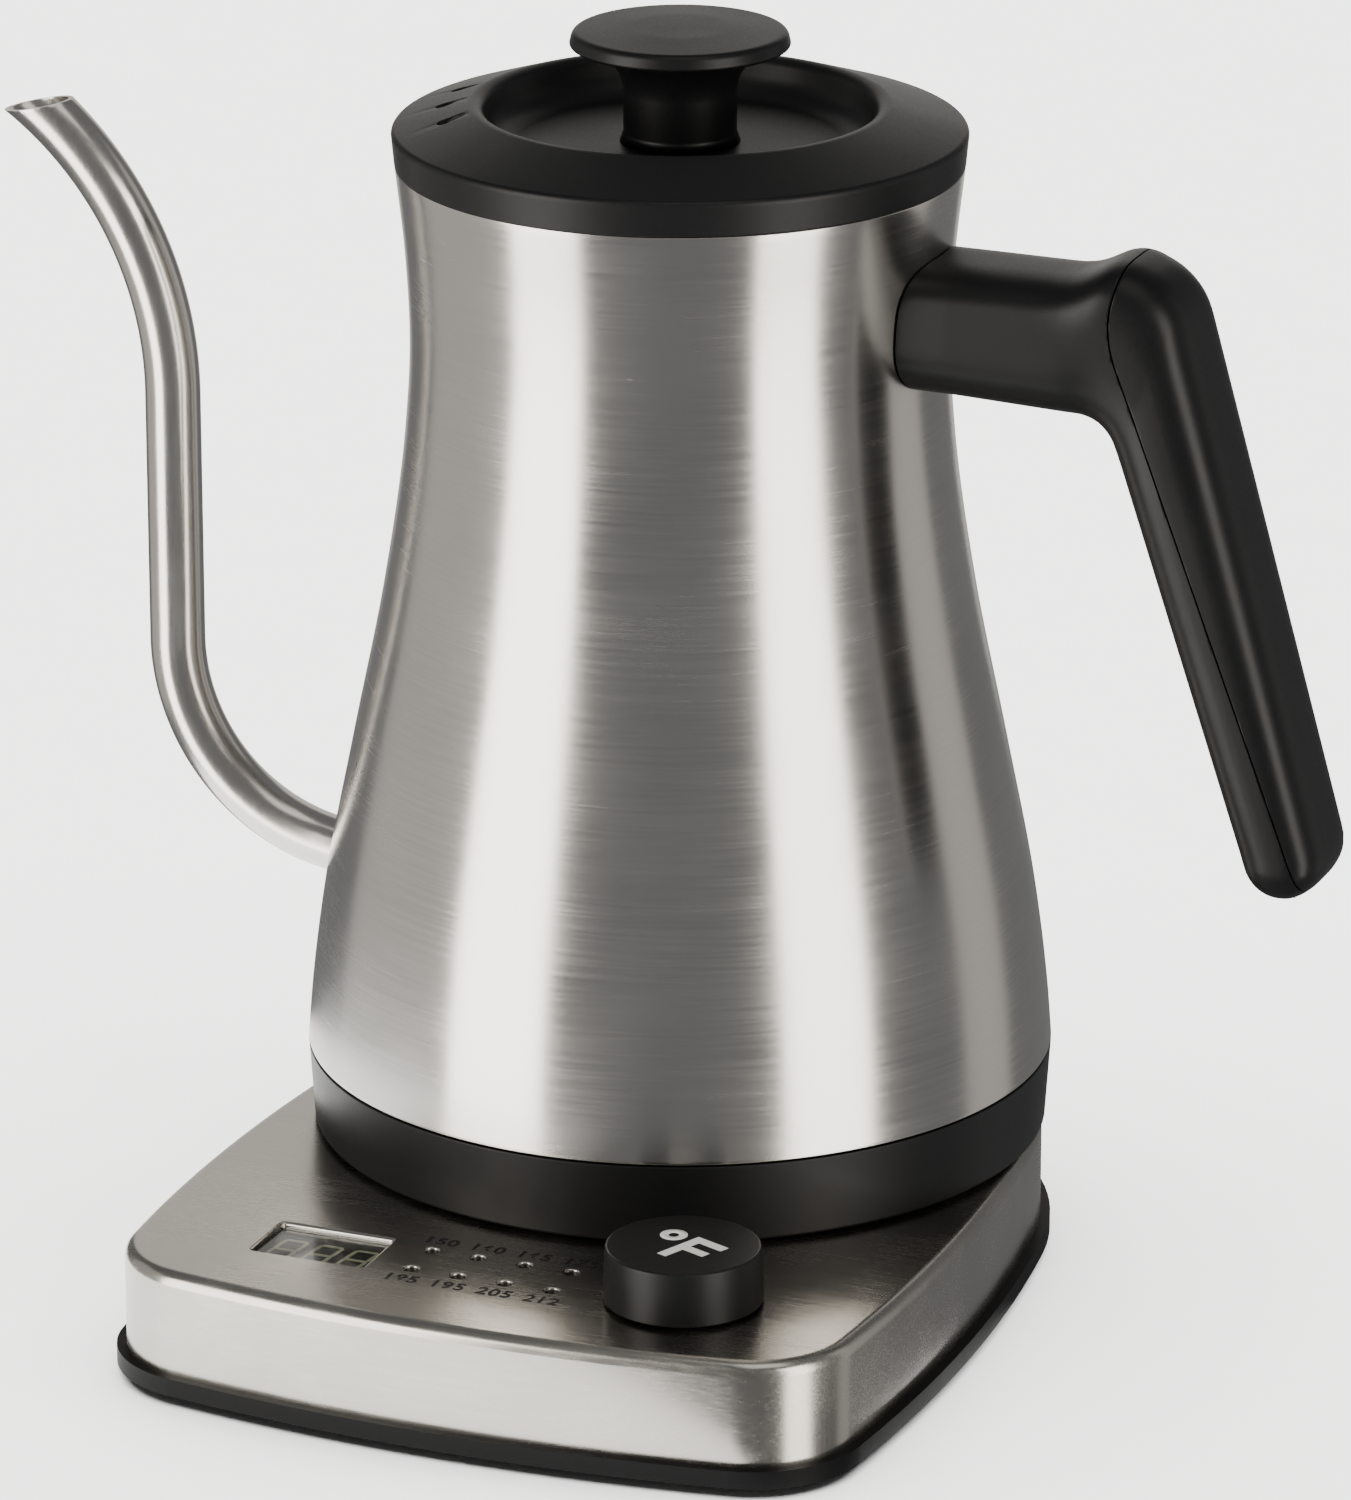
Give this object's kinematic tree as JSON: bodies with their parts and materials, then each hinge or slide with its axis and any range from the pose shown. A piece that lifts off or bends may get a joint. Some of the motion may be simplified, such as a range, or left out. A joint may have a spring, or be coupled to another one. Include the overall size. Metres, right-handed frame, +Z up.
{
  "type": "electric gooseneck kettle",
  "caption": "Waisted brushed-steel kettle with a thin curved spout, lift-off lid and angled black handle, resting on a square-fronted heating base with a display, preset lamps and a knob.",
  "frame": {"origin": "middle of the outline's bounding box, on the surface that the feet stand on", "axes": "+X to the handle, -X to the spout, -Y to the control panel, +Z up"},
  "size_m": [0.2646, 0.1872, 0.2357],
  "materials": {
    "aluminium": "cast",
    "black_plastic": "satin black moulded plastic",
    "board": "green circuit board",
    "brushed_steel": "brushed stainless steel",
    "clear_window": "clear moulded window",
    "component": "dark component body",
    "copper_contact": "plated contact metal",
    "display_face": "display with pale segments",
    "grip_plastic": "soft satin black plastic",
    "knob_plastic": "satin black plastic with a printed mark",
    "lamp": "smoked lens",
    "plain_steel": "rolled stainless steel, mill finish",
    "rubber": "moulded rubber",
    "screw_steel": "zinc plated",
    "silicone": "translucent grey silicone",
    "tray_plastic": "fine grained black plastic"
  },
  "bodies": {
    "base": {"base_tray": "tray_plastic", "base_top_shell": "brushed_steel", "top_carrier": "component", "rubber_feet": "rubber", "base_screws": "screw_steel", "display_window": "clear_window", "display_module": "display_face", "indicator_lenses": "lamp", "control_board": "board", "encoder_body": "component", "base_socket": "component", "socket_contacts": "copper_contact", "power_board": "board", "cord_gland": "tray_plastic", "gland_nut": "component"},
    "socket_shutter": {"socket_shutter_ring": "component"},
    "encoder_turn": {"encoder_rotor": "component"},
    "knob": {"control_knob": "knob_plastic", "encoder_shaft": "plain_steel"},
    "kettle": {"kettle_body": "brushed_steel", "spout_tube": "brushed_steel", "vessel_floor": "plain_steel", "heater_plate": "aluminium", "heating_element": "plain_steel", "temperature_sensor": "component", "thermal_cutout": "component", "skirt_ring": "black_plastic", "floor_seal": "silicone", "bottom_cover": "black_plastic", "bottom_cover_screws": "screw_steel", "kettle_connector": "component", "earth_pin": "copper_contact", "handle_screws": "screw_steel", "handle_bracket": "plain_steel", "handle_outer_shell": "grip_plastic", "handle_inner_shell": "grip_plastic"},
    "lid": {"lid_cover": "black_plastic", "lid_inner_plate": "plain_steel", "lid_seal": "silicone", "lid_knob": "black_plastic", "lid_screw": "screw_steel"}
  },
  "joints": [
    {"name": "kettle_swivel", "type": "hinge", "parent": "base", "child": "socket_shutter", "pos_m": [0.00442, 0.02329, 0.0157], "axis": [0, 0, 1], "continuous": true},
    {"name": "kettle_lift", "type": "slide", "parent": "socket_shutter", "child": "kettle", "axis": [0, 0, 1], "range_m": [0, 0.08]},
    {"name": "lid_lift", "type": "slide", "parent": "kettle", "child": "lid", "axis": [0, 0, 1], "range_m": [0, 0.08]},
    {"name": "knob_turn", "type": "hinge", "parent": "base", "child": "encoder_turn", "pos_m": [0.04022, -0.06351, 0.021], "axis": [0, 0, 1], "continuous": true},
    {"name": "knob_press", "type": "slide", "parent": "encoder_turn", "child": "knob", "axis": [0, 0, 1], "range_m": [-0.0005, 0], "stiffness_N_per_m": 800, "springref_m": 0.001}
  ]
}
